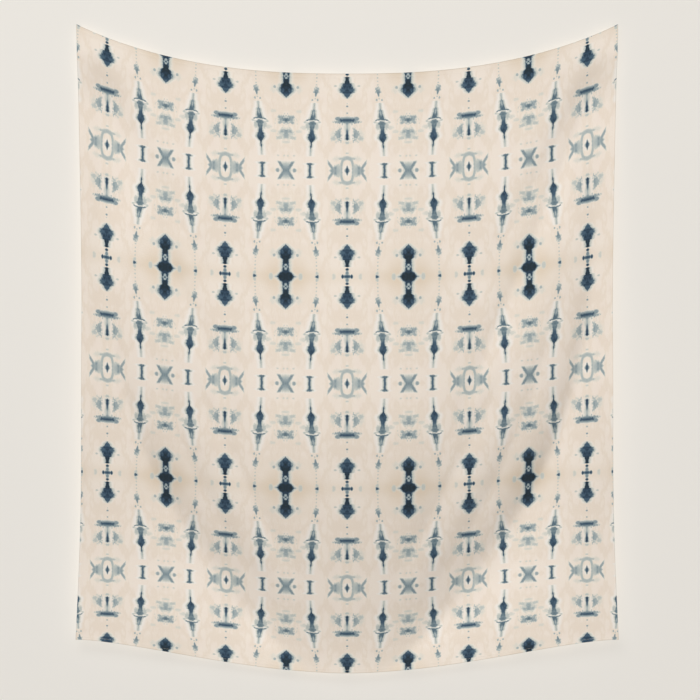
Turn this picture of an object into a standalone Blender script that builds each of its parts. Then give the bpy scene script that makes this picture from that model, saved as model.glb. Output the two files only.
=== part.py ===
"""Shibori dyed cloth hung by its two upper corners.

A plain rectangle of light cotton, 1.378 m across and 1.524 m down, held at its
two upper corners. Its upper edge sags between them, the middle swings forward
in a soft belly, and U-shaped swag folds run down from each corner.

The frame: +Z up, X across, the face of the cloth towards -Y. The origin is
halfway between the two upper corners, on the plane that the cloth hangs
against. Everything is in metres.
"""

from math import pi

import bpy
import numpy as np

# The cloth
sheetThickness = 0.0012
halfSpan = 0.6793  # from the middle to a side, before the sides bow in
sideLength = 1.524  # down each side
upperSag = 0.1245  # of the upper edge's middle, below the corners
upperSagPower = 2.4
lowerSag = 0.0845  # of the lower edge's middle, below the lower corners
lowerSagPower = 1.85
acrossGather = 0.0142  # how much the cloth closes up towards the sides
sidePull = 0.0235  # how far each side edge bows in at mid height
sidePullPower = 10  # how close to the edge that keeps
sidePullStarts = (-0.25, 0.45)  # shares of the way down
sidePullEnds = (0.62, 1.28)
bellySlack = 0.174  # how much lower the threads of the belly lie than straight
sideSlack = 0.154  # how much lower again they lie at the sides

# The hang: how far it stands forward of the wall plane. Each pair is where a
# share rises from 0 to 1, or falls from 1 to 0: down from the upper corners, or
# out from the middle where it is called a reach.
wallGap = 0.0010
contactRound = 0.0100  # how softly it comes to lie against that plane
cornerStandOff = 0.0100
cornerRise = (-0.30, 0.12)
bellyDepth = 0.0700
bellyHalfWidth = 0.40
bellyRise = (-0.15, 1.05)
bellyReturn = 0.72  # the share of its depth that the belly loses by the lower edge
bellyFall = (0.95, 1.66)
swellDepth = 0.0480  # of the sides, above the outer swags
swellRise = (-0.10, 0.90)
swellFall = (0.85, 1.64)
swellReach = (0.20, 0.58)
flareDepth = 0.0240  # of the lower corners, forward again
flareRise = (1.15, 1.62)
flareReach = (0.20, 0.60)
creaseRadius = 0.0100

# The mesh
columns = 46
rows = 50

# Each fold is a line that falls from near an upper corner and turns in under
# the belly, the same on both sides. The line starts at halfWidth from the
# middle at depth top, and would meet the middle at depth bottom; power is how
# late it turns. drop is how far the cloth falls back to the line, over inner
# on the belly's side and outer on the other. It shows from starts to ends,
# fading in and out over fadeIn and fadeOut.
foldColumns = ("name", "halfWidth", "top", "bottom", "power", "drop", "inner", "outer",
               "starts", "ends", "fadeIn", "fadeOut")
foldRows = (
    ("upper crease", 0.61, 0.10, 1.20, 1.10, 0.0060, 0.022, 0.070, 0.06, 0.80, 0.15, 0.45),
    ("long crease", 0.63, 0.10, 1.62, 1.05, 0.0120, 0.034, 0.090, 0.06, 1.25, 0.15, 0.60),
    ("outer swag", 0.615, 0.30, 1.69, 2.90, 0.0440, 0.070, 0.130, 0.05, 1.72, 0.95, 0.40),
    ("middle swag", 0.55, 0.40, 1.70, 1.90, 0.0085, 0.030, 0.060, 0.50, 1.60, 0.40, 0.45),
    ("lower crease", 0.46, 0.70, 1.62, 1.05, 0.0065, 0.026, 0.055, 0.80, 1.45, 0.20, 0.25),
)
folds = [dict(zip(foldColumns, row)) for row in foldRows]


def ease(span, value):
    """0 below the span, 1 above it, and a smooth rise within it."""
    t = np.clip((value - span[0]) / (span[1] - span[0]), 0, 1)
    return t * t * (3 - 2 * t)


def front_place(u, v):
    """Where a point of the flat cloth lies seen face on.

    u runs from -1 to 1 across the cloth and v from 0 to 1 down it. Returned
    are x from the middle and d, the depth below the upper corners.
    """
    pull = sidePull * ease(sidePullStarts, v) * (1 - ease(sidePullEnds, v))
    pull = pull * np.sign(u) * np.abs(u) ** sidePullPower
    x = (halfSpan + acrossGather) * u - acrossGather * u**3 - pull
    upper = upperSag * (1 - np.abs(u) ** upperSagPower)
    lower = sideLength + lowerSag * (1 - u * u) ** lowerSagPower
    d = upper + (lower - upper) * v
    d += bellySlack * v * v * (1 - v) + sideSlack * np.abs(u) ** 1.5 * v * (1 - v)
    return x, d


def fold_depth(fold, h, d):
    """How far one fold sets the cloth back, at h from the middle and d down."""
    fall = fold["bottom"] - fold["top"]
    q = np.clip((d - fold["top"]) / fall, 1e-4, None)
    line = fold["halfWidth"] * (1 - q ** fold["power"])
    slope = fold["halfWidth"] * fold["power"] * q ** (fold["power"] - 1) / fall
    off = (h - line) / np.sqrt(1 + slope**2)
    width = np.where(off < 0, fold["inner"], fold["outer"])
    across = np.exp((creaseRadius - np.sqrt(off**2 + creaseRadius**2)) / width)
    shown = ease((fold["starts"], fold["starts"] + fold["fadeIn"]), d)
    shown = shown * (1 - ease((fold["ends"] - fold["fadeOut"], fold["ends"]), d))
    return fold["drop"] * across * shown


def stand_off(x, d):
    """How far the middle of the cloth's thickness stands forward of the wall."""
    h = np.abs(x)
    out = cornerStandOff * ease(cornerRise, d)
    belly = bellyDepth * np.exp(-((h / bellyHalfWidth) ** 2))
    out = out + belly * ease(bellyRise, d) * (1 - bellyReturn * ease(bellyFall, d))
    swell = swellDepth * ease(swellReach, h)
    out = out + swell * ease(swellRise, d) * (1 - ease(swellFall, d))
    out = out + flareDepth * ease(flareReach, h) * ease(flareRise, d)
    for fold in folds:
        out = out - fold_depth(fold, h, d)
    # where it would pass through the wall plane it lies softly against it
    return wallGap + (out + np.sqrt(out**2 + contactRound**2)) / 2


def sheet_points():
    """The middle surface and its outward normals on the grid, row by row."""
    u, v = np.meshgrid(np.linspace(-1, 1, columns + 1), np.linspace(0, 1, rows + 1))
    x, d = front_place(u, v)
    points = np.stack([x, -stand_off(x, d), -d], axis=-1)
    across = np.gradient(points, axis=1)
    down = np.gradient(points, axis=0)
    normals = np.cross(down, across)
    normals /= np.linalg.norm(normals, axis=-1, keepdims=True)
    normals *= -np.sign(normals[..., 1:2])  # the face looks towards -Y
    return points, normals


def build_cloth():
    """The cloth as one closed sheet: a front, a back and the edge between them."""
    points, normals = sheet_points()
    front = (points + normals * sheetThickness / 2).reshape(-1, 3)
    back = (points - normals * sheetThickness / 2).reshape(-1, 3)
    count = len(front)
    wide = columns + 1

    faces = []
    for r in range(rows):
        for c in range(columns):
            a, b = r * wide + c, r * wide + c + 1
            e, f = a + wide, b + wide
            # the diagonal leans with the folds, so the two sides match
            if c < columns // 2:
                front_faces = [(a, e, f), (a, f, b)]
            else:
                front_faces = [(a, e, b), (b, e, f)]
            faces += front_faces
            faces += [tuple(count + i for i in reversed(face)) for face in front_faces]
    upper = list(range(wide))
    right = [r * wide + columns for r in range(rows + 1)]
    lower = [rows * wide + c for c in range(columns, -1, -1)]
    left = [r * wide for r in range(rows, -1, -1)]
    rim = upper[:-1] + right[:-1] + lower[:-1] + left[:-1]
    for i, a in enumerate(rim):
        b = rim[(i + 1) % len(rim)]
        faces += [(a, b, count + b), (a, count + b, count + a)]

    mesh = bpy.data.meshes.new("cloth")
    mesh.from_pydata(np.vstack([front, back]).tolist(), [], faces)
    mesh.validate()
    mesh.shade_smooth()
    mesh.set_sharp_from_angle(angle=pi / 3)
    cloth = bpy.data.objects.new("cloth", mesh)
    bpy.context.scene.collection.objects.link(cloth)
    mesh.materials.append(cloth_material())
    return cloth


def cloth_material():
    """Undyed cotton, cream with a little of the dye's blue in it."""
    material = bpy.data.materials.new("dyed cotton")
    material.use_nodes = True
    shader = material.node_tree.nodes["Principled BSDF"]
    shader.inputs["Base Color"].default_value = (0.72, 0.65, 0.57, 1)
    shader.inputs["Roughness"].default_value = 0.9
    shader.inputs["Metallic"].default_value = 0
    return material


for old in list(bpy.data.objects):
    bpy.data.objects.remove(old, do_unlink=True)
build_cloth()
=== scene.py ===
from math import pi, radians

import bpy
import numpy as np
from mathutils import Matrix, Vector


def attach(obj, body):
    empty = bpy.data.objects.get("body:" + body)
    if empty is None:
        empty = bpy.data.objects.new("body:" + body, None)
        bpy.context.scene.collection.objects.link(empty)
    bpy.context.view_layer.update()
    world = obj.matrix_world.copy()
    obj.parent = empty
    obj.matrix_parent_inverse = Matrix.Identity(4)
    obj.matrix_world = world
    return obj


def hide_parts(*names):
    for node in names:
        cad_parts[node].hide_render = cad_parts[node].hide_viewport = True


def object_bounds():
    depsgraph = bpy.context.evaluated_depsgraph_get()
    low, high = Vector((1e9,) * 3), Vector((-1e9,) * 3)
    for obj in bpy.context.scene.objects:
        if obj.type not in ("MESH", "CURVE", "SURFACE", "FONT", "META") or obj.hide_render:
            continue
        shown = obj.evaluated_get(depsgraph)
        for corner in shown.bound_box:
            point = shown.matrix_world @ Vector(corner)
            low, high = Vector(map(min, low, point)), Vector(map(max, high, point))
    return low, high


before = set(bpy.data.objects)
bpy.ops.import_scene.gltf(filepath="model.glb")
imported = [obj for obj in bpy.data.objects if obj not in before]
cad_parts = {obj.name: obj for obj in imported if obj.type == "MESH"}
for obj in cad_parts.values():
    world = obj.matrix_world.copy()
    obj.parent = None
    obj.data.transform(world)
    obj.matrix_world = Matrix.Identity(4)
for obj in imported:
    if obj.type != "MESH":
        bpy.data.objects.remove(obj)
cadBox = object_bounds()
print("frame loaded")

# How the cloth hangs, in metres: the same sizes that the solid cloth is made from.
hang = {
    "halfSpan": 0.6793,  # from the middle to a side, before the sides bow in
    "sideLength": 1.524,
    "upperSag": 0.1245,
    "upperSagPower": 2.4,
    "lowerSag": 0.0845,
    "lowerSagPower": 1.85,
    "acrossGather": 0.0142,  # how much it closes up towards the sides
    "sidePull": 0.0235,  # how far each side bows in
    "sidePullPower": 10,
    "sidePullStarts": (-0.25, 0.45),
    "sidePullEnds": (0.62, 1.28),
    "bellySlack": 0.174,
    "sideSlack": 0.154,
    "sideSlackPower": 1.5,
    "wallGap": 0.0010,
    "contactRound": 0.0100,
    "cornerStandOff": 0.0100,
    "cornerRise": (-0.30, 0.12),  # a rise or fall is down from the corners, a reach out from the middle
    "bellyDepth": 0.0700,
    "bellyHalfWidth": 0.40,
    "bellyRise": (-0.15, 1.05),
    "bellyReturn": 0.72,
    "bellyFall": (0.95, 1.66),
    "swellDepth": 0.0480,
    "swellRise": (-0.10, 0.90),
    "swellFall": (0.85, 1.64),
    "swellReach": (0.20, 0.58),
    "flareDepth": 0.0240,
    "flareRise": (1.15, 1.62),
    "flareReach": (0.20, 0.60),
    "creaseRadius": 0.0100,
}
foldColumns = ("name", "halfWidth", "top", "bottom", "power", "drop", "inner", "outer",
               "starts", "ends", "fadeIn", "fadeOut")
foldRows = (
    ("upper crease", 0.61, 0.10, 1.20, 1.10, 0.0060, 0.022, 0.070, 0.06, 0.80, 0.15, 0.45),
    ("long crease", 0.63, 0.10, 1.62, 1.05, 0.0120, 0.034, 0.090, 0.06, 1.25, 0.15, 0.60),
    ("outer swag", 0.615, 0.30, 1.69, 2.90, 0.0440, 0.070, 0.130, 0.05, 1.72, 0.95, 0.40),
    ("middle swag", 0.55, 0.40, 1.70, 1.90, 0.0085, 0.030, 0.060, 0.50, 1.60, 0.40, 0.45),
    ("lower crease", 0.46, 0.70, 1.62, 1.05, 0.0065, 0.026, 0.055, 0.80, 1.45, 0.20, 0.25),
)
folds = [dict(zip(foldColumns, row)) for row in foldRows]


def ease(span, value):
    t = np.clip((value - span[0]) / (span[1] - span[0]), 0, 1)
    return t * t * (3 - 2 * t)


def sidePullAt(v):
    return hang["sidePull"] * ease(hang["sidePullStarts"], v) * (1 - ease(hang["sidePullEnds"], v))


def frontPlace(u, v):
    # u from -1 to 1 across the flat cloth, v from 0 to 1 down it; d is the depth below the corners
    bow = sidePullAt(v) * np.sign(u) * np.abs(u) ** hang["sidePullPower"]
    x = (hang["halfSpan"] + hang["acrossGather"]) * u - hang["acrossGather"] * u**3 - bow
    upper = hang["upperSag"] * (1 - np.abs(u) ** hang["upperSagPower"])
    lower = hang["sideLength"] + hang["lowerSag"] * (1 - u * u) ** hang["lowerSagPower"]
    d = upper + (lower - upper) * v + hang["bellySlack"] * v * v * (1 - v)
    return x, d + hang["sideSlack"] * np.abs(u) ** hang["sideSlackPower"] * v * (1 - v)


def foldDepth(fold, h, d):
    fall = fold["bottom"] - fold["top"]
    q = np.clip((d - fold["top"]) / fall, 1e-4, None)
    line = fold["halfWidth"] * (1 - q ** fold["power"])
    slope = fold["halfWidth"] * fold["power"] * q ** (fold["power"] - 1) / fall
    off = (h - line) / np.sqrt(1 + slope**2)
    width = np.where(off < 0, fold["inner"], fold["outer"])
    across = np.exp((hang["creaseRadius"] - np.sqrt(off**2 + hang["creaseRadius"] ** 2)) / width)
    shown = ease((fold["starts"], fold["starts"] + fold["fadeIn"]), d)
    shown = shown * (1 - ease((fold["ends"] - fold["fadeOut"], fold["ends"]), d))
    return fold["drop"] * across * shown


def standOff(x, d):
    # how far the cloth stands forward of the wall plane
    h = np.abs(x)
    out = hang["cornerStandOff"] * ease(hang["cornerRise"], d)
    belly = hang["bellyDepth"] * np.exp(-((h / hang["bellyHalfWidth"]) ** 2))
    out = out + belly * ease(hang["bellyRise"], d) * (1 - hang["bellyReturn"] * ease(hang["bellyFall"], d))
    swell = hang["swellDepth"] * ease(hang["swellReach"], h)
    out = out + swell * ease(hang["swellRise"], d) * (1 - ease(hang["swellFall"], d))
    out = out + hang["flareDepth"] * ease(hang["flareReach"], h) * ease(hang["flareRise"], d)
    for fold in folds:
        out = out - foldDepth(fold, h, d)
    return hang["wallGap"] + (out + np.sqrt(out**2 + hang["contactRound"] ** 2)) / 2


# The cloth itself
cloth = {
    "flatWidth": 1.378,
    "flatLength": 1.524,
    "thickness": 0.0005,
    "hemThickness": 0.0012,  # three layers
    "hemStep": (0.0098, 0.0111),  # where its inner edge steps down
    "hemFront": 0.35,  # the share of its extra thickness that is in front
    "stitchDip": 0.0003,
    "stitchDipWidth": 0.0012,
    "sharpAngle": 55,
    "gridAcross": 196,
    "gridDown": 214,
    "hemLines": (0.0, 0.0015, 0.0050, 0.0088, 0.0100, 0.0112),  # from the edge inwards
    "stitchLine": 3,  # the hem line that the stitches follow
    "repeatsAcross": 4.59,  # half repeats of the pattern from the middle to a side
    "halfRepeat": 0.150,
    "halfRepeatDown": 0.262,
    "patternTop": 0.058,
    "patternTopBow": 0.055,  # how much less at the corners, within topFade of the upper edge
    "topFade": 0.04,
    "patternTrim": 0.02,  # less of the pattern shows at the sides, by trim above and trim - widen below
    "patternWiden": 0.08,
    "widenBetween": (0.20, 0.70),
    "patternDown": 5.86,  # half repeats down the middle
    "patternBow": 0.14,
    "bakePanels": {
        "frontCorner": (0.010, 0.010),
        "frontSize": (0.615, 0.980),
        "backCorner": (0.990, 0.010),
        "backSize": (-0.345, 0.980),
        "edge": 0.004,  # how wide a strip the cloth's thickness has
        "rimFrom": 0.49999,  # shares of the cloth from its middle that count as on the rim
    },
}


def gridPlaces(length, count):
    # fine lines along both hems and even ones between, as shares of the length
    edge = np.array(cloth["hemLines"]) / length
    middle = np.linspace(edge[-1], 1 - edge[-1], count + 1)
    return np.concatenate([edge[:-1], middle, 1 - edge[:-1][::-1]])


def middleSurface(u, v):
    x, d = frontPlace(u, v)
    points = np.stack([x, -standOff(x, d), -d], axis=-1)
    normals = np.cross(np.gradient(points, axis=0), np.gradient(points, axis=1))
    normals /= np.linalg.norm(normals, axis=-1, keepdims=True)
    normals *= -np.sign(normals[..., 1:2])
    return points, normals


def patternPlace(u, v):
    # the dye's own coordinates, in half repeats across and down
    trim = cloth["patternTrim"] - cloth["patternWiden"] * ease(cloth["widenBetween"], v)
    trim = trim + sidePullAt(v) / cloth["halfRepeat"]
    across = cloth["repeatsAcross"] * u - trim * np.sign(u) * np.abs(u) ** hang["sidePullPower"]
    top = cloth["patternTop"] - cloth["patternTopBow"] * u * u * np.exp(-v / cloth["topFade"])
    down = top + (cloth["patternDown"] - cloth["patternBow"] * u * u) * v
    return np.stack([across, down], axis=-1)


def makeCloth():
    s, v = np.meshgrid(gridPlaces(cloth["flatWidth"], cloth["gridAcross"]),
                       gridPlaces(cloth["flatLength"], cloth["gridDown"]))
    u = 2 * s - 1
    points, normals = middleSurface(u, v)
    fromSides = np.minimum(s, 1 - s) * cloth["flatWidth"]
    fromEdge = np.minimum(fromSides, np.minimum(v, 1 - v) * cloth["flatLength"])
    hem = 1 - ease(cloth["hemStep"], fromEdge)
    extra = (cloth["hemThickness"] - cloth["thickness"]) * hem
    stitched = cloth["hemLines"][cloth["stitchLine"]]
    dip = cloth["stitchDip"] * np.exp(-(((fromEdge - stitched) / cloth["stitchDipWidth"]) ** 2))
    half = cloth["thickness"] / 2
    front = points + normals * (half + extra * cloth["hemFront"] - dip)[..., None]
    back = points - normals * (half + extra * (1 - cloth["hemFront"]))[..., None]

    rows, columns = s.shape
    index = np.arange(rows * columns).reshape(rows, columns)
    a, b = index[:-1, :-1].ravel(), index[:-1, 1:].ravel()
    c, d = index[1:, 1:].ravel(), index[1:, :-1].ravel()
    quads = np.stack([a, d, c, b], axis=-1)
    rim = np.concatenate([index[0, :-1], index[:-1, -1], index[-1, :0:-1], index[:0:-1, 0]])
    nextRim = np.roll(rim, -1)
    total = rows * columns
    edgeQuads = np.stack([rim, nextRim, nextRim + total, rim + total], axis=-1)
    faces = np.concatenate([quads, quads[:, ::-1] + total, edgeQuads])

    mesh = bpy.data.meshes.new("cloth")
    mesh.from_pydata(np.vstack([front.reshape(-1, 3), back.reshape(-1, 3)]).tolist(), [], faces.tolist())

    places = patternPlace(u, v).reshape(-1, 2)
    corners = faces.ravel()
    layer = mesh.uv_layers.new(name="dye")
    layer.data.foreach_set("uv", places[corners % total].astype(np.float32).ravel())

    edgeLayer = mesh.attributes.new("fromEdge", "FLOAT", "POINT")
    edgeLayer.data.foreach_set("value", np.tile(fromEdge.ravel(), 2).astype(np.float32))

    # a second map with the front and the back side by side, for baking, and the edge just outside the front
    flat = np.stack([s, 1 - v], axis=-1).reshape(-1, 2)
    panels = cloth["bakePanels"]
    frontPanel = np.array(panels["frontCorner"]) + flat * panels["frontSize"]
    backPanel = np.array(panels["backCorner"]) + flat * panels["backSize"]
    fromMiddle = flat - 0.5
    outward = np.sign(np.where(np.abs(fromMiddle) > panels["rimFrom"], fromMiddle, 0)) * panels["edge"]
    onFront = (corners < total)[:, None]
    onSides = np.arange(len(corners))[:, None] < 2 * quads.size
    behind = np.where(onSides, backPanel[corners % total], (frontPanel + outward)[corners % total])
    bake = np.where(onFront, frontPanel[corners % total], behind)
    second = mesh.uv_layers.new(name="OFBake")
    second.data.foreach_set("uv", bake.astype(np.float32).ravel())
    mesh.uv_layers.active = mesh.uv_layers["dye"]
    mesh.shade_smooth()
    mesh.set_sharp_from_angle(angle=radians(cloth["sharpAngle"]))
    thing = bpy.data.objects.new("cloth_sheet", mesh)
    bpy.context.scene.collection.objects.link(thing)

    # the loop that the stitches follow, on the front and on the back
    start = cloth["stitchLine"]
    inner = index[start:rows - start, start:columns - start]
    loop = np.concatenate([inner[0, :-1], inner[:-1, -1], inner[-1, :0:-1], inner[:0:-1, 0]])
    return thing, [side.reshape(-1, 3)[loop] for side in (front, back)]


# Everything in the dye is worked out in nodes. A Field is one number at each point of the cloth.
nodeTree = None


class Field:
    def __init__(self, socket):
        self.socket = socket

    def __add__(self, other):
        return maths("ADD", self, other)

    def __sub__(self, other):
        return maths("SUBTRACT", self, other)

    def __rsub__(self, other):
        return maths("SUBTRACT", other, self)

    def __mul__(self, other):
        return maths("MULTIPLY", self, other)

    __radd__ = __add__
    __rmul__ = __mul__

    def __abs__(self):
        return maths("ABSOLUTE", self)


def connect(value, socket):
    if isinstance(value, Field):
        nodeTree.links.new(value.socket, socket)
    elif isinstance(value, bpy.types.NodeSocket):
        nodeTree.links.new(value, socket)
    else:
        socket.default_value = value


def maths(operation, *values, clamp=False):
    node = nodeTree.nodes.new("ShaderNodeMath")
    node.operation = operation
    node.use_clamp = clamp
    for value, socket in zip(values, node.inputs):
        connect(value, socket)
    return Field(node.outputs[0])


def most(first, *others):
    for other in others:
        first = maths("MAXIMUM", first, other)
    return first


def rise(value, low, high, full=1.0):
    # 0 at low, full at high, smooth between; low may be the larger
    node = nodeTree.nodes.new("ShaderNodeMapRange")
    node.interpolation_type = "SMOOTHSTEP"
    connect(value, node.inputs["Value"])
    connect(low, node.inputs["From Min"])
    connect(high, node.inputs["From Max"])
    node.inputs["To Max"].default_value = full
    return Field(node.outputs["Result"])


def along(value, rows):
    # a curve through rows of (place, height), straight between them
    node = nodeTree.nodes.new("ShaderNodeFloatCurve")
    points = node.mapping.curves[0].points
    points[0].location = rows[0]
    points[1].location = rows[-1]
    for row in rows[1:-1]:
        points.new(*row)
    for point in points:
        point.handle_type = "VECTOR"
    node.mapping.update()
    connect(value, node.inputs["Value"])
    return Field(node.outputs["Value"])


def vector(x, y, z=0.0):
    node = nodeTree.nodes.new("ShaderNodeCombineXYZ")
    for value, socket in zip((x, y, z), node.inputs):
        connect(value, socket)
    return node.outputs[0]


def noiseNode(name, x, y):
    wide, tall, offset, scale, detail, roughness = dye["noises"][name]
    node = nodeTree.nodes.new("ShaderNodeTexNoise")
    connect(vector(x * wide, y * tall, offset), node.inputs["Vector"])
    node.inputs["Scale"].default_value = scale
    node.inputs["Detail"].default_value = detail
    node.inputs["Roughness"].default_value = roughness
    return node


def spreadOut(value):
    # a noise of 0 to 1 made about -1 to 1
    return (value - 0.5) * dye["noiseGain"]


def noise(name, x, y):
    return spreadOut(Field(noiseNode(name, x, y).outputs[0]))


def noises(name, x, y):
    # three of them, each its own
    split = nodeTree.nodes.new("ShaderNodeSeparateColor")
    connect(noiseNode(name, x, y).outputs["Color"], split.inputs[0])
    return [spreadOut(Field(output)) for output in split.outputs[:3]]


def mixColour(share, first, second):
    node = nodeTree.nodes.new("ShaderNodeMix")
    node.data_type = "RGBA"
    connect(share, node.inputs[0])
    connect(first, node.inputs[6])
    connect(second, node.inputs[7])
    return node.outputs[2]


def paint(red, green, blue):
    # screen values, 0 to 255, as the linear colour that nodes take
    def linear(value):
        value /= 255
        return value / 12.92 if value <= 0.04045 else ((value + 0.055) / 1.055) ** 2.4

    return (linear(red), linear(green), linear(blue), 1)


# The motifs. The dyed pattern is folded into one quarter repeat, and each half repeat is the mirror
# of the next. Places down it run from 0, the dark rows, to 1, the pale rows. Three lines run down
# it: the spades at 0 across, the blobs at 1, and the spires between them. Widths and places across
# are half widths from a motif's own line, all in half repeats. Strength is how dark the dye is.
dye = {
    "cream": (243, 232, 218),
    "pinkCream": (240, 226, 213),
    "tan": (223, 205, 181),
    "resistWhite": (243, 242, 238),
    "edgeShade": (170, 158, 140),  # painted shade: a darker line along the hem's outer fold, where its rounded edge is in shade
    "edgeShadeWidth": 0.0028,
    "edgeShadeShare": 0.50,
    # the size of a half repeat across and down in each noise, its offset, scale, detail and roughness;
    # a size less than the real one draws the noise out that way
    "noises": {
        "coarse": (0.150, 0.262, 0.0, 28, 2, 0.55),
        "ragged": (0.150, 0.160, 0.7, 120, 2, 0.55),
        "fine": (0.150, 0.200, 3.1, 380, 1, 0.55),
        "mottle": (0.150, 0.160, 5.0, 13, 3, 0.55),
        "fray": (0.150, 0.262, 1.9, 210, 2, 0.50),
        "rays": (0.150, 0.026, 6.0, 330, 1, 0.55),
        "vein": (0.150, 0.090, 9.0, 30, 3, 0.55),
        "warp": (0.150, 0.026, 1.0, 900, 1, 0.55),
        "weft": (0.015, 0.262, 2.0, 900, 1, 0.55),
    },
    "noiseGain": 2.6,
    "coarseMove": (0.004, 0.003),  # how far the noises move the edges, across and down
    "frayMove": (0.009, 0.006),
    "tearing": (0.8, 0.5),  # of the marks, by the ragged and the fine noise
    "markSoftness": (0.35, 0.65),  # of a soft mark's edge, outside it and inside
    "roughness": (0.016, 0.014),  # of the lines' edges, by the same two
    "spireRoughness": 0.5,  # the share of it that the thin spires have
    "raggedFrom": (0.004, 0.07),  # the half widths between which an edge grows rough
    "heartShare": 0.62,  # of the strength, once well inside the edge
    "heartReach": (0.35, 0.006),
    "bleeds": (0.034, 0.038, 0.020),  # how far spade, blob and spire run at the edge
    "bleedInside": 0.6,
    "washReach": 1.9,
    "washStrength": 0.19,
    "washNeeds": 0.45,
    "haloReach": (-0.095, -0.015),
    "haloShares": (0.60, 0.50),  # of spade and blob; the spire's is whole
    "haloStrength": 0.60,
    "unevenness": (0.08, 0.12, 0.14),  # of the strength, by the mottle, ragged and fray noises
    "showsBy": 0.20,  # the strength at which the dye covers the cloth's own colour
    "ramp": (
        (0.00, (232, 226, 213)),
        (0.10, (220, 218, 207)),
        (0.20, (203, 205, 197)),
        (0.32, (177, 186, 184)),
        (0.45, (146, 160, 164)),
        (0.60, (109, 128, 136)),
        (0.74, (72, 95, 113)),
        (0.88, (47, 66, 84)),
        (1.00, (37, 50, 58)),
    ),
    "linePlace": (
        (0.0, 0.488), (0.25, 0.510), (0.36, 0.537), (0.47, 0.552), (0.53, 0.570), (0.60, 0.577),
        (0.70, 0.581), (0.78, 0.594), (0.85, 0.602), (1.0, 0.612),
    ),
    "spadeWidth": (
        (0.0, 0.0), (0.086, 0.0), (0.089, 0.036), (0.127, 0.041), (0.150, 0.050), (0.156, 0.088),
        (0.172, 0.102), (0.190, 0.115), (0.220, 0.139), (0.242, 0.114), (0.258, 0.076), (0.286, 0.038),
        (0.306, 0.0), (0.478, 0.0), (0.486, 0.130), (0.500, 0.168), (0.526, 0.160), (0.540, 0.070),
        (0.552, 0.026), (0.580, 0.024), (0.600, 0.024), (0.640, 0.027), (0.700, 0.034), (0.713, 0.0),
        (0.946, 0.0), (0.975, 0.022), (1.0, 0.044),
    ),
    "spadeStrength": (
        (0.0, 0.9), (0.125, 0.98), (0.150, 0.92), (0.200, 0.90), (0.240, 0.87), (0.300, 0.68),
        (0.484, 0.26), (0.496, 0.46), (0.512, 0.80), (0.522, 0.72), (0.544, 0.46), (0.560, 0.34),
        (0.590, 0.36), (0.620, 0.62), (0.690, 0.88), (0.713, 0.80), (0.950, 0.82), (1.0, 0.70),
    ),
    "blobWidth": (
        (0.0, 0.176), (0.012, 0.150), (0.030, 0.108), (0.045, 0.078), (0.055, 0.066), (0.120, 0.062),
        (0.150, 0.060), (0.162, 0.068), (0.172, 0.102), (0.200, 0.116), (0.225, 0.136), (0.246, 0.120),
        (0.266, 0.080), (0.286, 0.042), (0.310, 0.0), (0.908, 0.0), (0.914, 0.104), (0.935, 0.080),
        (0.960, 0.064), (0.985, 0.056), (1.0, 0.060),
    ),
    "blobStrength": (
        (0.0, 0.98), (0.060, 0.94), (0.100, 0.88), (0.150, 0.98), (0.200, 0.96), (0.240, 0.92),
        (0.300, 0.70), (0.906, 0.04), (0.930, 0.20), (0.958, 0.40), (1.0, 0.52),
    ),
    "spireWidth": (
        (0.0, 0.0), (0.345, 0.0), (0.350, 0.009), (0.408, 0.011), (0.418, 0.030), (0.450, 0.038),
        (0.490, 0.050), (0.512, 0.064), (0.534, 0.046), (0.542, 0.080), (0.552, 0.078), (0.560, 0.054),
        (0.590, 0.052), (0.600, 0.038), (0.623, 0.040), (0.642, 0.040), (0.656, 0.066), (0.685, 0.078),
        (0.700, 0.066), (0.717, 0.040), (0.732, 0.020), (0.748, 0.014), (0.772, 0.018), (0.787, 0.011),
        (0.860, 0.006), (0.870, 0.0), (0.924, 0.0), (0.930, 0.056), (0.942, 0.056), (0.950, 0.026),
        (1.0, 0.023),
    ),
    "spireStrength": (
        (0.0, 0.0), (0.345, 0.38), (0.410, 0.52), (0.430, 0.56), (0.470, 0.62), (0.500, 0.66),
        (0.540, 0.58), (0.560, 0.59), (0.600, 0.64), (0.625, 0.74), (0.690, 0.80), (0.730, 0.90),
        (0.770, 0.76), (0.800, 0.56), (0.865, 0.34), (0.926, 0.50), (0.942, 0.66), (1.0, 0.70),
    ),
}

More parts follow.
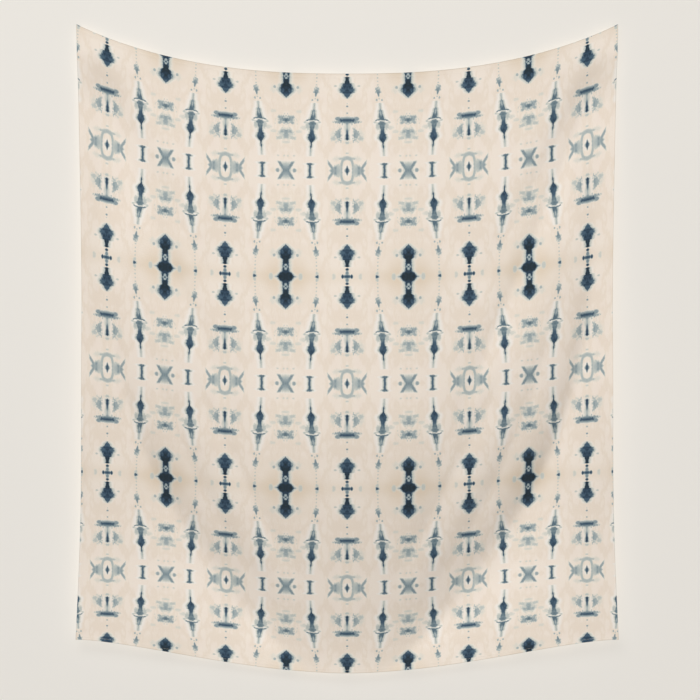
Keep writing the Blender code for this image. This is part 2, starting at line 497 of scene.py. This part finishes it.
# Single marks beside or on the lines: a wash or spot of dye each, or a fleck that stayed clear
markColumns = ("name", "line", "across", "down", "halfAcross", "halfDown", "strength", "soft", "torn")
dyedMarks = (
    ("cross bar", "spade", 0.000, 0.000, 0.074, 0.020, 0.78, 0.9, 0.1),
    ("cross end", "spade", 0.070, 0.000, 0.026, 0.018, 0.84, 0.8, 0.2),
    ("stem wash", "spade", 0.000, 0.030, 0.030, 0.034, 0.50, 0.9, 0.1),
    ("bead", "spade", 0.000, 0.068, 0.030, 0.012, 0.86, 0.7, 0.1),
    ("side dash", "spade", 0.190, 0.180, 0.030, 0.013, 0.20, 0.9, 0.3),
    ("ghost", "spade", 0.215, 0.000, 0.034, 0.036, 0.17, 0.8, 0.2),
    ("first dot", "spade", 0.000, 0.352, 0.011, 0.007, 0.20, 0.7, 0.1),
    ("second dot", "spade", 0.000, 0.380, 0.017, 0.010, 0.46, 0.8, 0.1),
    ("third dot", "spade", 0.000, 0.448, 0.016, 0.010, 0.36, 0.9, 0.3),
    ("bar end", "spade", 0.150, 0.502, 0.056, 0.018, 0.50, 1.0, 1.4),
    ("bar end below", "spade", 0.112, 0.530, 0.100, 0.022, 0.44, 1.0, 1.4),
    ("leaf", "spade", 0.140, 0.655, 0.064, 0.072, 0.40, 1.0, 1.3),
    ("leaf streak", "spade", 0.122, 0.655, 0.022, 0.054, 0.44, 1.0, 0.6),
    ("far leaf", "spade", 0.226, 0.692, 0.060, 0.028, 0.24, 1.0, 0.6),
    ("leaf wash", "spade", 0.180, 0.660, 0.120, 0.070, 0.12, 0.9, 0.5),
    ("arc", "spade", 0.000, 0.732, 0.070, 0.014, 0.25, 1.0, 0.9),
    ("crumb", "spade", 0.000, 0.833, 0.030, 0.012, 0.18, 0.8, 0.3),
    ("roof", "spade", 0.080, 0.888, 0.075, 0.016, 0.28, 1.0, 0.6),
    ("roof wash", "spade", 0.160, 0.885, 0.100, 0.030, 0.12, 0.9, 0.5),
    ("wing heart", "spade", 0.246, 1.000, 0.044, 0.024, 0.42, 1.0, 0.6),
    ("blob ghost", "blob", 0.240, 0.000, 0.040, 0.040, 0.22, 0.8, 0.2),
    ("blob eye", "blob", 0.190, 0.200, 0.030, 0.017, 0.34, 0.9, 0.2),
    ("blob smear", "blob", 0.215, 0.225, 0.070, 0.045, 0.11, 0.9, 0.5),
    ("star heart", "blob", 0.000, 0.515, 0.090, 0.030, 0.62, 1.0, 0.8),
    ("star", "blob", 0.000, 0.517, 0.142, 0.044, 0.44, 1.0, 1.1),
    ("star foot", "blob", 0.098, 0.543, 0.046, 0.017, 0.38, 1.0, 0.8),
    ("star corner", "blob", 0.100, 0.492, 0.046, 0.018, 0.42, 1.0, 0.8),
    ("kite", "blob", 0.000, 0.630, 0.105, 0.030, 0.44, 1.0, 0.8),
    ("kite tail", "blob", 0.000, 0.664, 0.056, 0.038, 0.40, 1.0, 0.6),
    ("kite foot", "blob", 0.105, 0.690, 0.056, 0.017, 0.24, 1.0, 1.0),
    ("kite wash", "blob", 0.000, 0.648, 0.165, 0.066, 0.20, 0.9, 0.8),
    ("smudge", "blob", 0.000, 0.732, 0.090, 0.016, 0.14, 0.9, 0.3),
    ("far smudge", "blob", 0.210, 0.435, 0.060, 0.020, 0.13, 0.9, 0.4),
    ("wisp", "blob", 0.300, 0.590, 0.080, 0.026, 0.15, 0.9, 0.5),
    ("second wisp", "blob", 0.205, 0.628, 0.070, 0.022, 0.14, 0.9, 0.5),
    ("cross dot", "blob", 0.138, 1.000, 0.036, 0.020, 0.44, 0.9, 0.2),
    ("cross crumb", "blob", 0.032, 0.861, 0.024, 0.011, 0.16, 0.9, 0.2),
    ("far crumb", "blob", 0.130, 0.861, 0.026, 0.011, 0.16, 0.9, 0.2),
    ("square", "spire", 0.000, 0.000, 0.034, 0.016, 0.78, 1.0, 0.6),
    ("square wash", "spire", 0.000, 0.030, 0.028, 0.020, 0.22, 0.9, 0.2),
    ("spark", "spire", 0.000, 0.236, 0.044, 0.040, 0.50, 1.0, 0.9),
    ("spark stem", "spire", 0.000, 0.262, 0.016, 0.032, 0.52, 0.8, 0.2),
    ("spark crumb", "spire", 0.044, 0.245, 0.012, 0.010, 0.30, 0.8, 0.2),
    ("low crumb", "spire", 0.042, 0.318, 0.017, 0.012, 0.34, 0.8, 0.2),
    ("collar", "spire", 0.070, 0.575, 0.044, 0.044, 0.26, 1.0, 0.5),
    ("lip shade", "spire", 0.110, 0.535, 0.040, 0.014, 0.22, 0.9, 0.3),
)
clearMarks = (
    ("neck diamond", "blob", 0.000, 0.076, 0.026, 0.018, 0.66, 0.9, 0.2),
    ("neck ring", "blob", 0.000, 0.110, 0.022, 0.012, 0.66, 0.8, 0.2),
    ("neck side", "blob", 0.024, 0.093, 0.014, 0.014, 0.55, 0.8, 0.2),
    ("blob light", "blob", 0.060, 0.228, 0.036, 0.022, 0.13, 1.0, 0.8),
    ("spade light", "spade", 0.056, 0.222, 0.034, 0.020, 0.12, 1.0, 0.8),
    ("bar notch", "spade", 0.000, 0.482, 0.060, 0.008, 0.40, 1.0, 0.3),
    ("halo beside the bar", "spade", 0.064, 0.650, 0.026, 0.075, 0.70, 1.0, 0.4),
    ("spire light", "spire", 0.000, 0.448, 0.016, 0.030, 0.40, 0.9, 0.2),
    ("spark fleck", "spire", 0.034, 0.264, 0.014, 0.016, 0.95, 0.6, 0.2),
)


def patch(lines, mark, torn):
    # an oval of the mark's strength, torn at its edge
    size = (1 / mark["halfAcross"], 1 / mark["halfDown"], 0)
    moved = nodeTree.nodes.new("ShaderNodeVectorMath")
    moved.operation = "MULTIPLY_ADD"
    connect(lines[mark["line"]], moved.inputs[0])
    moved.inputs[1].default_value = size
    moved.inputs[2].default_value = (-mark["across"] * size[0], -mark["down"] * size[1], 0)
    away = nodeTree.nodes.new("ShaderNodeVectorMath")
    away.operation = "LENGTH"
    connect(moved.outputs[0], away.inputs[0])
    edge = maths("MULTIPLY_ADD", torn, mark["torn"], Field(away.outputs["Value"]))
    outside, inside = [share * mark["soft"] for share in dye["markSoftness"]]
    return rise(edge, 1.0 + outside, 1.0 - inside, mark["strength"])


def dyedLine(x, down, width, strength, ragged, bleed):
    # motifs mirrored about a line: their dye, dark inside and watery at its edge, and the halo round it
    half = along(down, width)
    inside = half + ragged * rise(half, *dye["raggedFrom"]) - x
    heart = rise(inside, 0.0, maths("MULTIPLY_ADD", half, *dye["heartReach"]))
    body = rise(inside, -bleed, bleed * dye["bleedInside"], 1 - dye["heartShare"])
    body = body + heart * dye["heartShare"]
    there = rise(half, 0.0, dye["heartReach"][1])
    dark = along(down, strength)
    wash = rise(inside, -bleed * dye["washReach"], 0.0, dye["washStrength"])
    wash = wash * rise(dark, 0.0, dye["washNeeds"])
    return most(body * dark, wash) * there, rise(inside, *dye["haloReach"]) * there


def band(offset, half, soft):
    # 1 within half of a line, given the distance from it
    return rise(abs(offset), half + soft, half)


# The eye on the spade line: a ring, its clear inside, and wings that end in a fork
eye = {
    "flatness": 0.80,
    "power": 3.0,  # 2 is an oval, more is squarer
    "ringRadius": 0.094,
    "ringHalf": 0.007,
    "ringSoft": 0.022,
    "ringStrength": 0.32,
    "clearRadius": (0.086, 0.068),
    "clearStrength": 0.90,
    "heartSlope": 1.15,  # of the diamond that isn't cleared
    "heartEdge": (0.050, 0.062),
    "wingHeight": (
        (0.0, 0.074), (0.120, 0.070), (0.170, 0.060), (0.220, 0.042), (0.250, 0.026), (0.280, 0.010),
        (1.0, 0.0),
    ),
    "wingTorn": 0.018,
    "wingEdge": (0.018, -0.034),
    "wingStrength": 0.50,
    "wingThin": 0.55,  # the share of it next to the ring
    "wingDeepens": (0.110, 0.240),
    "wingEnds": (0.300, 0.270),
    "wingRays": 0.45,
    "forkStart": 0.214,
    "forkSlope": 0.84,
    "forkHalf": 0.009,
    "forkSoft": 0.026,
    "forkRises": (0.200, 0.240),
    "forkEnds": (0.338, 0.290),
    "forkStrength": 0.42,
}


def eyeDye(a, b, torn):
    # the dye of the eyes, and how clear they leave the cloth
    above = 1.0 - b
    power = eye["power"]
    powers = maths("POWER", abs(a), power) + maths("POWER", abs(above) * eye["flatness"], power)
    fromEye = maths("POWER", powers, 1 / power)
    ring = band(fromEye - eye["ringRadius"], eye["ringHalf"], eye["ringSoft"]) * eye["ringStrength"]
    past = above - along(a, eye["wingHeight"]) - torn * eye["wingTorn"]
    wing = rise(past, *eye["wingEdge"], eye["wingStrength"])
    wing = wing * (eye["wingThin"] + rise(a, *eye["wingDeepens"], 1 - eye["wingThin"]))
    wing = wing * rise(a, *eye["wingEnds"]) * (1.0 + noise("rays", a, b) * eye["wingRays"])
    fork = band(above - (a - eye["forkStart"]) * eye["forkSlope"], eye["forkHalf"], eye["forkSoft"])
    fork = fork * rise(a, *eye["forkRises"]) * rise(a, *eye["forkEnds"]) * eye["forkStrength"]
    outside = rise(above + a * eye["heartSlope"], *eye["heartEdge"])
    return most(ring, wing, fork), rise(fromEye, *eye["clearRadius"]) * outside * eye["clearStrength"]


# The arms of the cross on the blob line
cross = {
    "slope": 1.10,
    "start": 0.022,
    "half": 0.014,
    "soft": 0.034,
    "ends": (0.098, 0.070),
    "strength": 0.50,
}


def crossDye(fromBlob, b):
    above = 1.0 - b
    arm = band(fromBlob - above * cross["slope"] - cross["start"], cross["half"], cross["soft"])
    return arm * rise(above, *cross["ends"]) * cross["strength"]


# Clear crescents across the spires, each with a dark lip above it
crescent = {
    "down": 0.519,
    "curve": 1.4,
    "half": 0.002,
    "soft": 0.008,
    "ends": (0.118, 0.080),
    "clearStrength": 0.76,
    "lipAbove": 0.013,
    "lipSoft": 0.009,
    "lipEnds": (0.125, 0.085),
    "lipStrength": 0.60,
}


def crescents(fromSpire, b):
    # the clear crescent and its lip's dye
    bowed = b - crescent["down"] - fromSpire * fromSpire * crescent["curve"]
    clear = band(bowed, crescent["half"], crescent["soft"]) * rise(fromSpire, *crescent["ends"])
    lip = band(bowed + crescent["lipAbove"], crescent["half"], crescent["lipSoft"])
    return clear, lip * rise(fromSpire, *crescent["lipEnds"]) * crescent["lipStrength"]


# A chain of crumbs down the spire line, above the spark
chain = {
    "halfPitch": 0.017,
    "crumbEnds": (0.010, 0.003),
    "crumbSides": (0.018, 0.008),
    "starts": (0.02, 0.05),
    "ends": (0.36, 0.30),
    "strength": 0.22,
}


def chainDye(fromSpire, b):
    crumbs = rise(maths("PINGPONG", b, chain["halfPitch"]), *chain["crumbEnds"])
    crumbs = crumbs * rise(fromSpire, *chain["crumbSides"])
    return crumbs * rise(b, *chain["ends"]) * rise(b, *chain["starts"]) * chain["strength"]


# The cloth under the dye: cream, tan where the blobs' dye has spread, faintly veined, with painted shade
# along its edge. Reaches are in metres.
ground = {
    "tanReach": (0.095, 0.020),
    "tanStrength": 0.62,
    "tanRing": 0.083,
    "tanRingHalf": 0.004,
    "tanRingSoft": 0.012,
    "tanRingStrength": 0.16,
    "darkRow": (0.12, 0.0),  # in half repeats down
    "darkRowStrength": 0.30,
    "patchiness": 0.35,
    "vein": (0.24, 0.0),
    "veinStrength": 0.30,
    "pinkRange": (-0.9, 0.9),
}


def groundColour(a, b, fromBlob, mottle, halo):
    fromCentre = nodeTree.nodes.new("ShaderNodeVectorMath")
    fromCentre.operation = "LENGTH"
    connect(vector(fromBlob * cloth["halfRepeat"], b * cloth["halfRepeatDown"]), fromCentre.inputs[0])
    spread = Field(fromCentre.outputs["Value"])
    warm = rise(spread, *ground["tanReach"], ground["tanStrength"])
    warm = warm + rise(b, *ground["darkRow"], ground["darkRowStrength"])
    ring = band(spread - ground["tanRing"], ground["tanRingHalf"], ground["tanRingSoft"])
    warm = warm + ring * ground["tanRingStrength"]
    warm = maths("ADD", warm * (mottle * ground["patchiness"] + 1.0), 0.0, clamp=True)
    vein = rise(abs(noise("vein", a, b)), *ground["vein"], ground["veinStrength"])
    colour = mixColour(rise(mottle, *ground["pinkRange"]), paint(*dye["cream"]), paint(*dye["pinkCream"]))
    colour = mixColour(most(warm, vein), colour, paint(*dye["tan"]))
    colour = mixColour(halo * dye["haloStrength"], colour, paint(*dye["resistWhite"]))
    # painted shade: the colour darkens within a few millimetres of the cloth's edge, standing in for the
    # rounded hem's shade
    edge = nodeTree.nodes.new("ShaderNodeAttribute")
    edge.attribute_name = "fromEdge"
    edgeShade = rise(Field(edge.outputs["Fac"]), dye["edgeShadeWidth"], 0.0, dye["edgeShadeShare"])
    return mixColour(edgeShade, colour, paint(*dye["edgeShade"]))


def dyeColour(strength):
    ramp = nodeTree.nodes.new("ShaderNodeValToRGB")
    stops = ramp.color_ramp.elements
    stops[0].position, stops[1].position = dye["ramp"][0][0], dye["ramp"][-1][0]
    stops[0].color, stops[1].color = paint(*dye["ramp"][0][1]), paint(*dye["ramp"][-1][1])
    for place, colour in dye["ramp"][1:-1]:
        stops.new(place).color = paint(*colour)
    connect(strength, ramp.inputs[0])
    return ramp.outputs[0]


# Plain weave, with thicker threads here and there
weave = {
    "bumpStrength": 0.35,
    "bumpDistance": 0.0004,
    "roughness": 0.92,
    "specular": 0.25,
    "sheen": 0.06,
    "sheenRoughness": 0.5,
}


def clothMaterial():
    global nodeTree
    material = bpy.data.materials.new("dyed cotton")
    material.use_nodes = True
    nodeTree = material.node_tree
    shader = nodeTree.nodes["Principled BSDF"]
    uvMap = nodeTree.nodes.new("ShaderNodeUVMap")
    uvMap.uv_map = "dye"
    parts = nodeTree.nodes.new("ShaderNodeSeparateXYZ")
    nodeTree.links.new(uvMap.outputs[0], parts.inputs[0])
    across = Field(parts.outputs[0])
    down = Field(parts.outputs[1])

    # the folded cloth, and the unevenness of its dye
    a = maths("PINGPONG", across, 1.0)
    b = maths("PINGPONG", down, 1.0)
    coarse, ragged, fine, mottle = [noise(name, a, b) for name in ("coarse", "ragged", "fine", "mottle")]
    frayAcross, frayDown, frayStrength = noises("fray", a, b)
    a = a + coarse * dye["coarseMove"][0] + frayAcross * dye["frayMove"][0]
    b = b + coarse * dye["coarseMove"][1] + frayDown * dye["frayMove"][1]
    fromBlob = 1.0 - a
    fromSpire = abs(a - along(b, dye["linePlace"]))
    lines = {"spade": vector(a, b), "blob": vector(fromBlob, b), "spire": vector(fromSpire, b)}
    torn = ragged * dye["tearing"][0] + fine * dye["tearing"][1]

    # the three lines of motifs
    rough = ragged * dye["roughness"][0] + fine * dye["roughness"][1]
    spadeBleed, blobBleed, spireBleed = dye["bleeds"]
    spadeDye, spadeHalo = dyedLine(abs(a), b, dye["spadeWidth"], dye["spadeStrength"], rough, spadeBleed)
    blobDye, blobHalo = dyedLine(abs(fromBlob), b, dye["blobWidth"], dye["blobStrength"], rough, blobBleed)
    rough = rough * dye["spireRoughness"]
    spireDye, spireHalo = dyedLine(fromSpire, b, dye["spireWidth"], dye["spireStrength"], rough, spireBleed)
    dyed = most(spadeDye, blobDye, spireDye)
    halo = most(spadeHalo * dye["haloShares"][0], blobHalo * dye["haloShares"][1], spireHalo)

    # what lies beside them
    for row in dyedMarks:
        dyed = most(dyed, patch(lines, dict(zip(markColumns, row)), torn))
    eyes, clear = eyeDye(a, b, torn)
    for row in clearMarks:
        clear = most(clear, patch(lines, dict(zip(markColumns, row)), torn))
    clearCrescent, lip = crescents(fromSpire, b)
    clear = most(clear, clearCrescent * crescent["clearStrength"])
    dyed = most(dyed, eyes, crossDye(fromBlob, b), lip) * (1.0 - clear)
    dyed = most(dyed, chainDye(fromSpire, b))
    halo = most(halo, clearCrescent)

    byMottle, byRagged, byFray = dye["unevenness"]
    uneven = dyed * (1.0 + mottle * byMottle + ragged * byRagged + frayStrength * byFray)
    plain = groundColour(a, b, fromBlob, mottle, halo)
    shown = rise(uneven, 0.0, dye["showsBy"])
    connect(mixColour(shown, plain, dyeColour(uneven)), shader.inputs["Base Color"])

    bump = nodeTree.nodes.new("ShaderNodeBump")
    bump.inputs["Strength"].default_value = weave["bumpStrength"]
    bump.inputs["Distance"].default_value = weave["bumpDistance"]
    connect(noise("warp", across, down) + noise("weft", across, down), bump.inputs["Height"])
    nodeTree.links.new(bump.outputs[0], shader.inputs["Normal"])
    shader.inputs["Roughness"].default_value = weave["roughness"]
    shader.inputs["Specular IOR Level"].default_value = weave["specular"]
    shader.inputs["Sheen Weight"].default_value = weave["sheen"]
    shader.inputs["Sheen Roughness"].default_value = weave["sheenRoughness"]
    return material


# The hem's stitches, one short loop of thread each, repeated along the hem by Geometry Nodes
stitch = {
    "Pitch": 0.0032,
    "Stitch Length": 0.0025,
    "Thread Width": 0.0006,
    "Unevenness": 0.14,
    "Seed": 4,
    "colour": (238, 229, 214),
}


def stitchTree(material):
    tree = bpy.data.node_groups.new("hem stitches", "GeometryNodeTree")
    tree.interface.new_socket(name="Geometry", in_out="INPUT", socket_type="NodeSocketGeometry")
    for name in ("Pitch", "Stitch Length", "Thread Width", "Unevenness"):
        tree.interface.new_socket(name=name, in_out="INPUT", socket_type="NodeSocketFloat")
    tree.interface.new_socket(name="Seed", in_out="INPUT", socket_type="NodeSocketInt")
    tree.interface.new_socket(name="Geometry", in_out="OUTPUT", socket_type="NodeSocketGeometry")

    def add(kind, settings={}, **sockets):
        node = tree.nodes.new(kind)
        for name, value in settings.items():
            setattr(node, name, value)
        for name, value in sockets.items():
            socket = node.inputs[name.replace("_", " ")]
            if isinstance(value, bpy.types.NodeSocket):
                tree.links.new(value, socket)
            else:
                socket.default_value = value
        return node

    given = tree.nodes.new("NodeGroupInput").outputs
    curve = add("GeometryNodeMeshToCurve", Mesh=given["Geometry"])
    spaced = add("GeometryNodeResampleCurve", {"mode": "LENGTH"}, Curve=curve.outputs[0],
                 Length=given["Pitch"])
    size = add("ShaderNodeCombineXYZ", X=given["Stitch Length"], Y=given["Thread Width"],
               Z=given["Thread Width"])
    ball = add("GeometryNodeMeshIcoSphere", Radius=0.5, Subdivisions=1)
    thread = add("GeometryNodeTransform", Geometry=ball.outputs[0], Scale=size.outputs[0])
    tangent = tree.nodes.new("GeometryNodeInputTangent")
    turned = add("FunctionNodeAlignRotationToVector", {"axis": "X"}, Vector=tangent.outputs[0])
    least = add("ShaderNodeMath", {"operation": "SUBTRACT"})
    least.inputs[0].default_value = 1.0
    tree.links.new(given["Unevenness"], least.inputs[1])
    varied = add("FunctionNodeRandomValue", {"data_type": "FLOAT"}, Seed=given["Seed"])
    tree.links.new(least.outputs[0], varied.inputs[2])
    varied.inputs[3].default_value = 1.0
    placed = add("GeometryNodeInstanceOnPoints", Points=spaced.outputs[0], Instance=thread.outputs[0],
                 Rotation=turned.outputs[0], Scale=varied.outputs[1])
    real = add("GeometryNodeRealizeInstances", Geometry=placed.outputs[0])
    smooth = add("GeometryNodeSetShadeSmooth", Geometry=real.outputs[0])
    finished = add("GeometryNodeSetMaterial", Geometry=smooth.outputs[0], Material=material)
    result = tree.nodes.new("NodeGroupOutput")
    tree.links.new(finished.outputs[0], result.inputs[0])
    return tree


def makeStitches(loops):
    path = bpy.data.meshes.new("stitch path")
    count = len(loops[0])
    edges = [(start + i, start + (i + 1) % count) for start in (0, count) for i in range(count)]
    path.from_pydata(np.vstack(loops).tolist(), edges, [])
    guide = bpy.data.objects.new("stitch path", path)
    bpy.context.scene.collection.objects.link(guide)
    material = plainMaterial("stitch thread", stitch["colour"])
    tree = stitchTree(material)
    modifier = guide.modifiers.new("stitches", "NODES")
    modifier.node_group = tree
    for item in tree.interface.items_tree:
        if item.in_out == "INPUT" and item.name in stitch:
            modifier[item.identifier] = stitch[item.name]
    made = guide.evaluated_get(bpy.context.evaluated_depsgraph_get())
    mesh = bpy.data.meshes.new_from_object(made)
    bpy.data.objects.remove(guide)
    thing = bpy.data.objects.new("hem_stitches", mesh)
    bpy.context.scene.collection.objects.link(thing)
    return thing


def plainMaterial(name, colour):
    material = bpy.data.materials.new(name)
    material.use_nodes = True
    shader = material.node_tree.nodes["Principled BSDF"]
    shader.inputs["Base Color"].default_value = paint(*colour)
    shader.inputs["Roughness"].default_value = 0.9
    shader.inputs["Specular IOR Level"].default_value = 0.1
    return material


sheet, stitchLoops = makeCloth()
sheet.data.materials.append(clothMaterial())
print("cloth and dye made")
stitches = makeStitches(stitchLoops)
print("stitches made:", len(stitches.data.polygons), "faces")

# The room: a pale floor, a wall that shows only from the front, soft light and the camera
room = {
    "floorDrop": 0.80,
    "floorSize": 12.0,
    "wallHeight": 7.0,
    "wallGap": 0.002,
    "wallColour": (240, 236, 229),
    "floorColour": (205, 201, 194),
    "skyColour": (1.0, 0.985, 0.96, 1),
    "skyStrength": 0.22,
    "sunStrength": 2.70,
    "sunFrom": (-0.13, -0.70, 0.70),
    "sunSpread": 40,
    "backStrength": 2.2,
    "backFrom": (0.5, 0.8, 0.5),
    "backSpread": 60,
    "topPlace": (-0.9, -3.2, 1.9),
    "topSize": (3.0, 1.5),
    "topPower": 22.0,
    "lens": 85,
    "viewWidth": 1.743,
    "viewCentre": (0.007, -0.809),
}


def stagePlane(name, corners, material):
    mesh = bpy.data.meshes.new(name)
    mesh.from_pydata(corners, [], [(0, 1, 2, 3)])
    mesh.materials.append(material)
    plane = bpy.data.objects.new(name, mesh)
    bpy.context.scene.collection.objects.link(plane)
    return plane


def makeRoom():
    low = cadBox[0][2] - room["floorDrop"]
    half = room["floorSize"] / 2
    corners = [(-half, -half, low), (half, -half, low), (half, half, low), (-half, half, low)]
    floor = stagePlane("floor", corners, plainMaterial("floor", room["floorColour"]))
    floor.visible_diffuse = False
    wallMaterial = plainMaterial("wall", room["wallColour"])
    tree = wallMaterial.node_tree
    clear = tree.nodes.new("ShaderNodeBsdfTransparent")
    side = tree.nodes.new("ShaderNodeNewGeometry")
    chosen = tree.nodes.new("ShaderNodeMixShader")
    tree.links.new(side.outputs["Backfacing"], chosen.inputs[0])
    tree.links.new(tree.nodes["Principled BSDF"].outputs[0], chosen.inputs[1])
    tree.links.new(clear.outputs[0], chosen.inputs[2])
    tree.links.new(chosen.outputs[0], tree.nodes["Material Output"].inputs["Surface"])
    y, top = room["wallGap"], low + room["wallHeight"]
    corners = [(-half, y, low), (half, y, low), (half, y, top), (-half, y, top)]
    wall = stagePlane("wall", corners, wallMaterial)
    wall.visible_diffuse = False
    wall.visible_glossy = False
    wall.visible_transmission = False
    wall.visible_shadow = False


def addSun(name, source, strength, spread, shadow):
    light = bpy.data.lights.new(name, "SUN")
    light.energy = strength
    light.angle = radians(spread)
    light.use_shadow = shadow
    lamp = bpy.data.objects.new(name, light)
    lamp.rotation_euler = Vector(source).to_track_quat("Z", "Y").to_euler()
    bpy.context.scene.collection.objects.link(lamp)


def makeLight():
    world = bpy.data.worlds.new("soft light")
    world.use_nodes = True
    sky = world.node_tree.nodes["Background"]
    sky.inputs["Color"].default_value = room["skyColour"]
    sky.inputs["Strength"].default_value = room["skyStrength"]
    bpy.context.scene.world = world
    addSun("front light", room["sunFrom"], room["sunStrength"], room["sunSpread"], False)
    addSun("back light", room["backFrom"], room["backStrength"], room["backSpread"], True)
    light = bpy.data.lights.new("top light", "AREA")
    light.shape = "RECTANGLE"
    light.size, light.size_y = room["topSize"]
    light.energy = room["topPower"]
    lamp = bpy.data.objects.new("top light", light)
    lamp.location = room["topPlace"]
    aim = Vector(room["topPlace"]) - Vector((0, 0, cadBox[0][2] / 2))
    lamp.rotation_euler = aim.to_track_quat("Z", "Y").to_euler()
    bpy.context.scene.collection.objects.link(lamp)
    bpy.context.scene.view_settings.view_transform = "Standard"


def makeCamera():
    data = bpy.data.cameras.new("camera")
    data.lens = room["lens"]
    x, z = room["viewCentre"]
    away = room["viewWidth"] * data.lens / data.sensor_width
    camera = bpy.data.objects.new("camera", data)
    camera.location = (x, -away, z)
    camera.rotation_euler = (pi / 2, 0, 0)
    bpy.context.scene.collection.objects.link(camera)
    bpy.context.scene.camera = camera


makeRoom()
makeLight()
makeCamera()
print("room, light and camera made")

for piece in (sheet, stitches):
    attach(piece, "root")
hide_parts("cloth")
